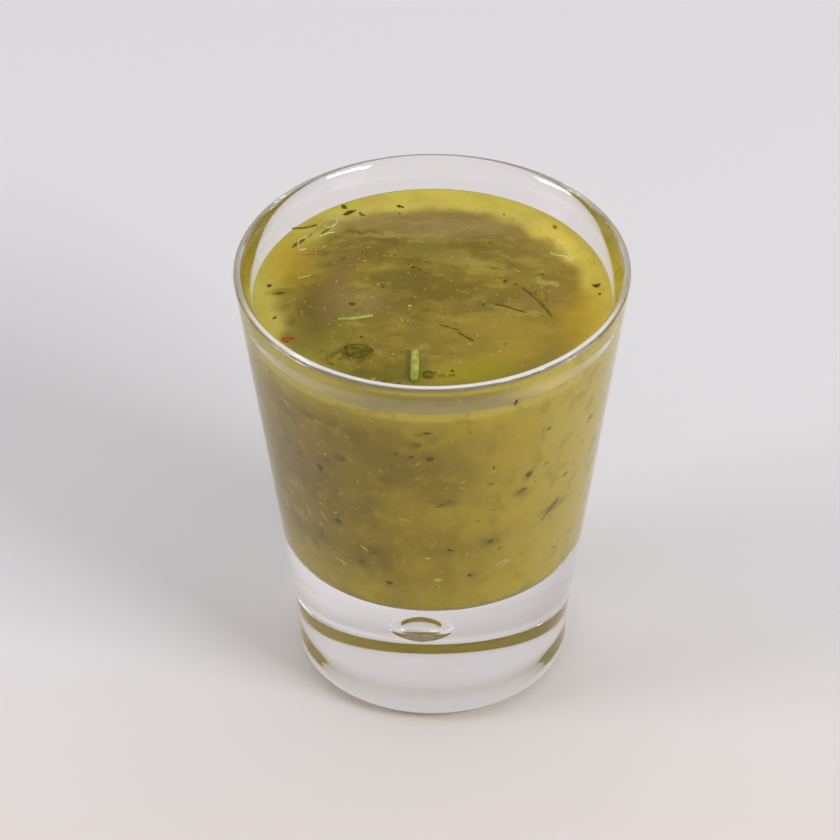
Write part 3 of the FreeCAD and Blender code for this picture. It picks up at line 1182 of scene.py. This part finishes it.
def make_herbs():
    """All the herbs, and the strands of painted highlight, one piece for each kind."""
    herbs = {name: bmesh.new() for name, *_ in HERBS}
    add_leaves(herbs)
    add_stems(herbs)
    add_specks(herbs)
    add_side_bits(herbs)
    add_crumbs(herbs)
    for name, material_name, dark, light, gloss in HERBS:
        herb_piece(name, herbs[name], herb_material(material_name, dark, light, gloss))


# ---------------------------------------------------------------- stage (metres)

# The floor: half its side, how far it lies under the foot so that the two don't meet in
# one plane, and its tone, which goes from far to near between two Y in millimetres:
# cooler far and warmer near, a painted tint of the light.
FLOOR_HALF = 3.0
FLOOR_DROP = 0.00005
FLOOR_FAR = (0.790, 0.780, 0.810)
FLOOR_NEAR = (0.800, 0.735, 0.720)
FLOOR_TURN = (20, -60)

WORLD_COLOUR = (1.0, 0.97, 0.968, 1)
WORLD_STRENGTH = 0.60

# Soft boxes that face the middle of the glass: name, direction, width and height, power.
LIGHTS = [
    ("key", (0.645, -0.510, 0.566), (0.5, 0.26), 6.7),
    ("fill", (-0.861, -0.214, 0.462), (0.45, 0.32), 3.6),
]
LIGHT_DISTANCE = 1.2
LIGHT_AIM = Vector((0, 0, 0.03))

# The camera: distance and aim in metres, lens in millimetres, angles in degrees.
CAMERA_DISTANCE = 1.0
CAMERA_ELEVATION = 37.596
CAMERA_AIM = (-0.00169, 0, 0.03819)
CAMERA_LENS = 317.0
CAMERA_ROLL = 0.2

# Light passes the glass many times before it leaves the base.
BOUNCES = 32


def area_light(name, direction, size, power):
    """A soft box that faces the middle of the glass."""
    light = bpy.data.lights.new(name, "AREA")
    light.shape = "RECTANGLE"
    light.size, light.size_y = size
    light.energy = power
    lamp = new_object(name, light)
    place = Vector(direction).normalized() * LIGHT_DISTANCE + LIGHT_AIM
    lamp.location = place
    lamp.rotation_euler = (LIGHT_AIM - place).to_track_quat("-Z", "Y").to_euler()


def make_stage():
    """The floor, the world and the lights."""
    bm = bmesh.new()
    corners = ((-1, -1), (1, -1), (1, 1), (-1, 1))
    bm.faces.new([bm.verts.new((x * FLOOR_HALF, y * FLOOR_HALF, -FLOOR_DROP)) for x, y in corners])
    floor = finish_mesh(bm, "floor", smooth=False)
    material, shader = principled("pale_floor", Roughness=0.75)
    nodes = Nodes(material)
    # A painted tint of the light: the floor turns from cooler far to warmer near.
    near = nodes.step(nodes.part(nodes.place, "Y"), *FLOOR_TURN)
    nodes.link(nodes.mix(near, FLOOR_FAR, FLOOR_NEAR), shader.inputs["Base Color"])
    floor.data.materials.append(material)
    world = bpy.data.worlds.new("studio")
    bpy.context.scene.world = world
    world.use_nodes = True
    background = world.node_tree.nodes["Background"]
    background.inputs["Color"].default_value = WORLD_COLOUR
    background.inputs["Strength"].default_value = WORLD_STRENGTH
    for name, direction, size, power in LIGHTS:
        area_light(name, direction, size, power)


def make_camera():
    """The photo's camera, which looks down at the glass from the front."""
    data = bpy.data.cameras.new("camera")
    data.lens = CAMERA_LENS
    data.sensor_width = 36
    data.clip_start = 0.01
    camera = new_object("camera", data)
    tilt = math.radians(CAMERA_ELEVATION)
    forward = Vector((0, math.cos(tilt), -math.sin(tilt)))
    camera.location = Vector(CAMERA_AIM) - forward * CAMERA_DISTANCE
    roll = Matrix.Rotation(math.radians(CAMERA_ROLL), 4, forward)
    camera.rotation_euler = (roll @ forward.to_track_quat("-Z", "Y").to_matrix().to_4x4()).to_euler()
    bpy.context.scene.camera = camera


# ---------------------------------------------------------------- scene

make_camera()
make_stage()

tumbler = make_glass()
tumbler.data.materials.append(glass_material())
tumbler.data.materials.append(lip_material())
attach(tumbler, "root")
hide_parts("glass")

marinade_body = make_marinade()
marinade_body.data.materials.append(side_material())
marinade_body.data.materials.append(surface_material())
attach(marinade_body, "root")
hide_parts("marinade")

make_herbs()

bpy.context.scene.view_settings.view_transform = "Standard"
bpy.context.scene.cycles.max_bounces = BOUNCES
bpy.context.scene.cycles.transmission_bounces = BOUNCES
bpy.context.scene.cycles.glossy_bounces = BOUNCES

bpy.context.view_layer.update()
